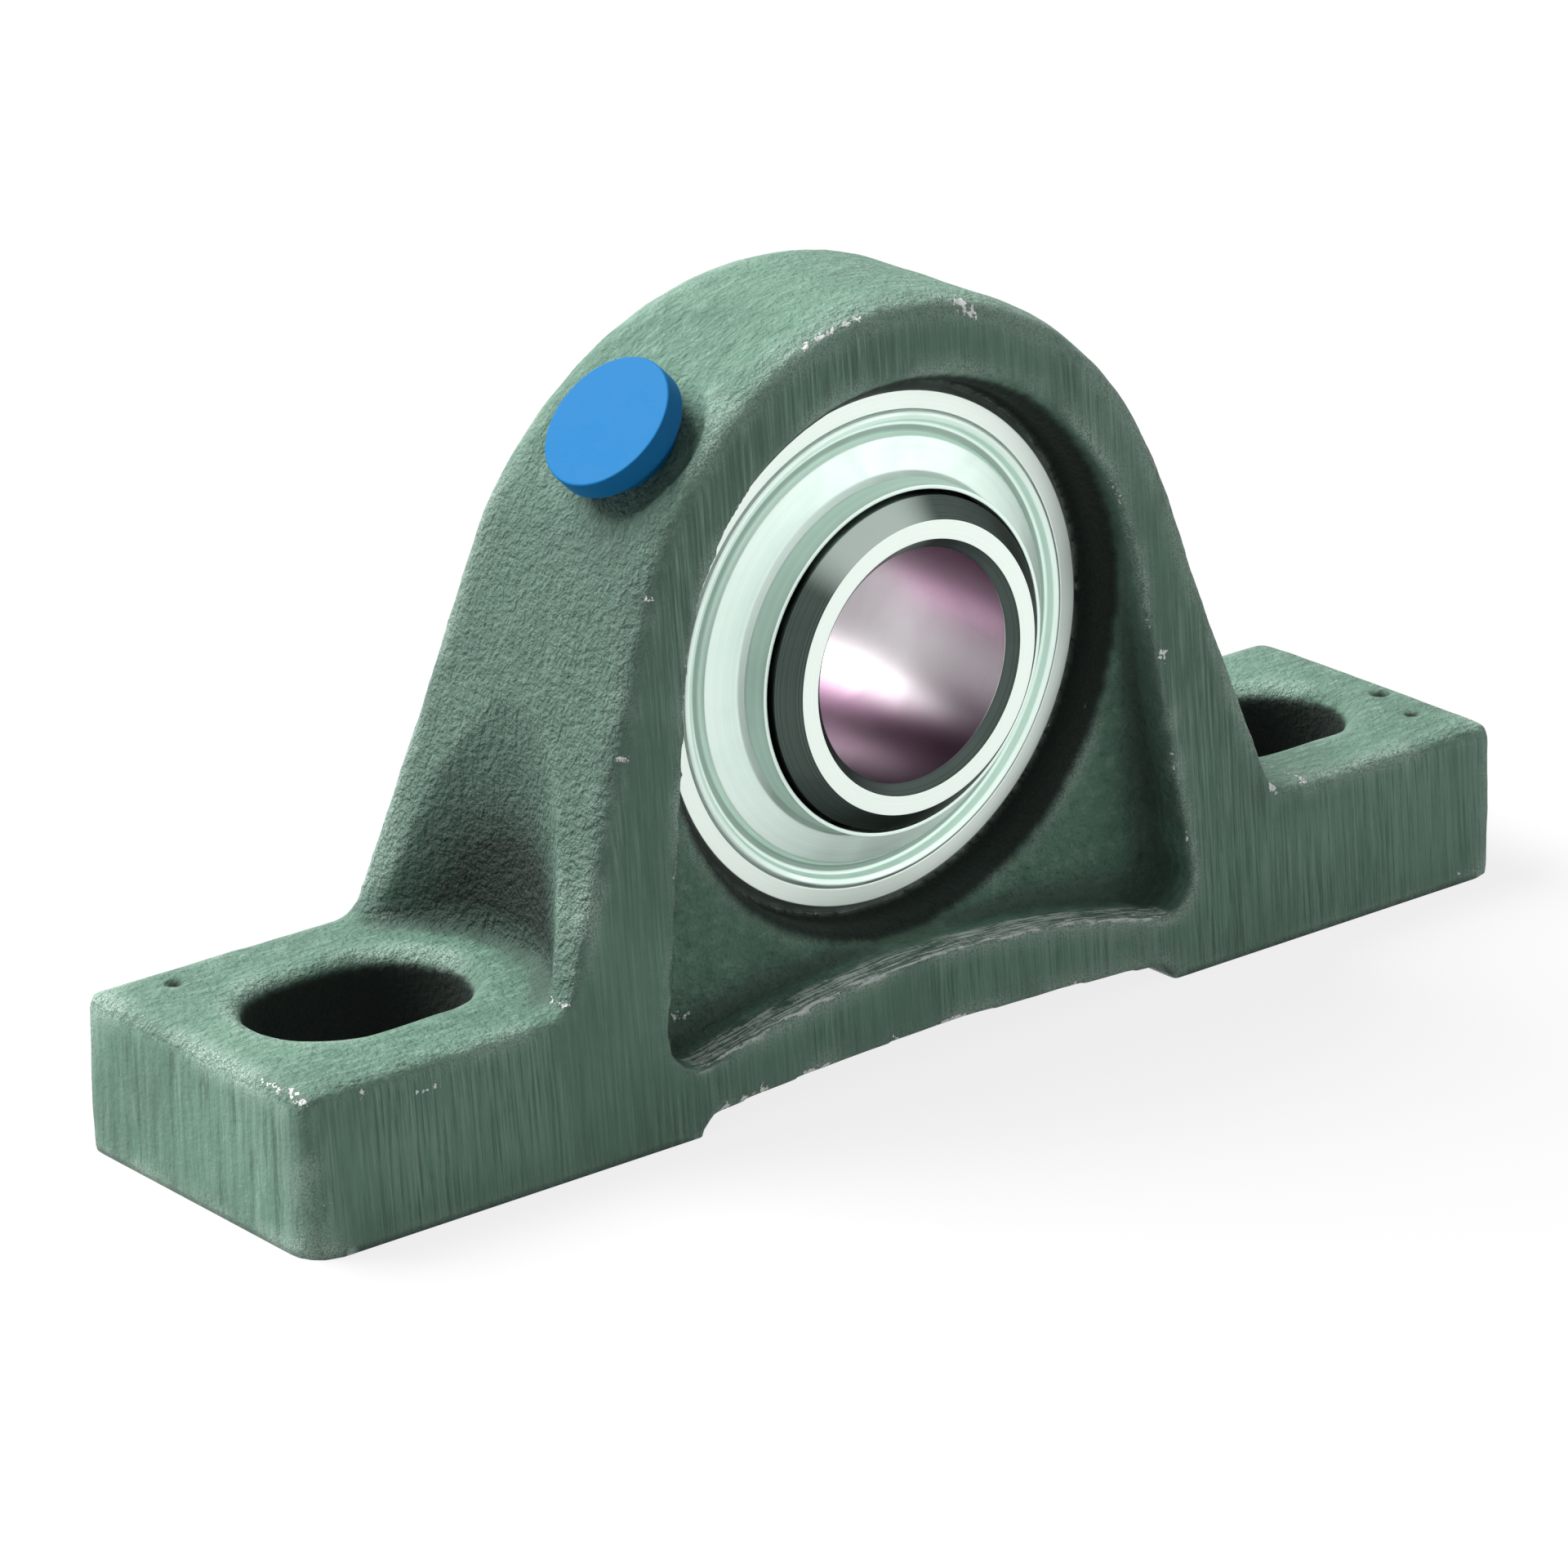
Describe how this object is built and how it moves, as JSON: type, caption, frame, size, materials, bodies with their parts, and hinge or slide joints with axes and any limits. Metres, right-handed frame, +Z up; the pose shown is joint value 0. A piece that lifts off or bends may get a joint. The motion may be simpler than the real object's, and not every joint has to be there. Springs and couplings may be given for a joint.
{
  "type": "pillow block bearing",
  "caption": "Pillow block bearing: green cast housing with an arch on two slotted feet, self-aligning ball bearing insert with bright shields, blue plastic cap over the grease hole.",
  "frame": {"origin": "on the base plane, midway between the two bolt slots and right below the centre of the insert", "axes": "+X along the base to the right seen from the short end of the inner ring, +Y along the shaft towards the set screws, +Z up"},
  "size_m": [0.13, 0.0343, 0.0639],
  "materials": {
    "green_paint": "satin paint over sand-cast iron, worn edges",
    "blue_plastic": "smooth moulded plastic",
    "ground_steel": "ground bearing steel",
    "shield_steel": "bright pressed sheet",
    "ball_steel": "polished balls",
    "cage_steel": "pressed sheet steel",
    "black_rubber": "moulded seal rubber",
    "black_steel": "black oxide"
  },
  "bodies": {
    "base": {"housing": "green_paint"},
    "plug": {"grease_plug": "blue_plastic"},
    "pin": {"locating_pin": "ground_steel"},
    "insert": {"outer_ring": "ground_steel", "front_shield": "shield_steel", "front_seal": "black_rubber", "front_washer": "shield_steel", "back_shield": "shield_steel", "back_seal": "black_rubber", "back_washer": "shield_steel"},
    "inner": {"inner_ring": "ground_steel"},
    "cage": {"cage_front": "cage_steel", "cage_back": "cage_steel", "cage_rivets": "cage_steel"},
    "ball_1": {"ball_1": "ball_steel"},
    "ball_2": {"ball_2": "ball_steel"},
    "ball_3": {"ball_3": "ball_steel"},
    "ball_4": {"ball_4": "ball_steel"},
    "ball_5": {"ball_5": "ball_steel"},
    "ball_6": {"ball_6": "ball_steel"},
    "ball_7": {"ball_7": "ball_steel"},
    "ball_8": {"ball_8": "ball_steel"},
    "set_screw_1": {"set_screw_1": "black_steel"},
    "set_screw_2": {"set_screw_2": "black_steel"}
  },
  "joints": [
    {"name": "insert_turn", "type": "hinge", "parent": "base", "child": "pin", "pos_m": [0, 0, 0.0333], "axis": [0, 0, 1], "range_deg": [-3, 3]},
    {"name": "insert_tilt", "type": "hinge", "parent": "pin", "child": "insert", "pos_m": [0, 0, 0.0333], "axis": [1, 0, 0], "range_deg": [-3, 3]},
    {"name": "shaft_spin", "type": "hinge", "parent": "insert", "child": "inner", "pos_m": [0, 0, 0.0333], "axis": [0, 1, 0], "continuous": true},
    {"name": "cage_spin", "type": "hinge", "parent": "insert", "child": "cage", "pos_m": [0, 0, 0.0333], "axis": [0, 1, 0], "continuous": true},
    {"name": "ball_1_spin", "type": "hinge", "parent": "cage", "child": "ball_1", "pos_m": [0, 0, 0.05005], "axis": [0, 1, 0], "continuous": true},
    {"name": "ball_2_spin", "type": "hinge", "parent": "cage", "child": "ball_2", "pos_m": [0.01184, 0, 0.04514], "axis": [0, 1, 0], "continuous": true},
    {"name": "ball_3_spin", "type": "hinge", "parent": "cage", "child": "ball_3", "pos_m": [0.01675, 0, 0.0333], "axis": [0, 1, 0], "continuous": true},
    {"name": "ball_4_spin", "type": "hinge", "parent": "cage", "child": "ball_4", "pos_m": [0.01184, 0, 0.02146], "axis": [0, 1, 0], "continuous": true},
    {"name": "ball_5_spin", "type": "hinge", "parent": "cage", "child": "ball_5", "pos_m": [0, 0, 0.01655], "axis": [0, 1, 0], "continuous": true},
    {"name": "ball_6_spin", "type": "hinge", "parent": "cage", "child": "ball_6", "pos_m": [-0.01184, 0, 0.02146], "axis": [0, 1, 0], "continuous": true},
    {"name": "ball_7_spin", "type": "hinge", "parent": "cage", "child": "ball_7", "pos_m": [-0.01675, 0, 0.0333], "axis": [0, 1, 0], "continuous": true},
    {"name": "ball_8_spin", "type": "hinge", "parent": "cage", "child": "ball_8", "pos_m": [-0.01184, 0, 0.04514], "axis": [0, 1, 0], "continuous": true},
    {"name": "set_screw_1_feed", "type": "slide", "parent": "inner", "child": "set_screw_1", "axis": [0.866, 0, 0.5], "range_m": [-0.0003, 0.003]},
    {"name": "set_screw_2_feed", "type": "slide", "parent": "inner", "child": "set_screw_2", "axis": [-0.866, 0, 0.5], "range_m": [-0.0003, 0.003]},
    {"name": "plug_pull", "type": "slide", "parent": "base", "child": "plug", "axis": [-0.7193, 0, 0.6947], "range_m": [0, 0.006]}
  ],
  "couplings": [
    {"joint": "cage_spin", "follows": "shaft_spin", "ratio": 0.38152},
    {"joint": "ball_1_spin", "follows": "shaft_spin", "ratio": -1.9916},
    {"joint": "ball_2_spin", "follows": "shaft_spin", "ratio": -1.9916},
    {"joint": "ball_3_spin", "follows": "shaft_spin", "ratio": -1.9916},
    {"joint": "ball_4_spin", "follows": "shaft_spin", "ratio": -1.9916},
    {"joint": "ball_5_spin", "follows": "shaft_spin", "ratio": -1.9916},
    {"joint": "ball_6_spin", "follows": "shaft_spin", "ratio": -1.9916},
    {"joint": "ball_7_spin", "follows": "shaft_spin", "ratio": -1.9916},
    {"joint": "ball_8_spin", "follows": "shaft_spin", "ratio": -1.9916}
  ]
}
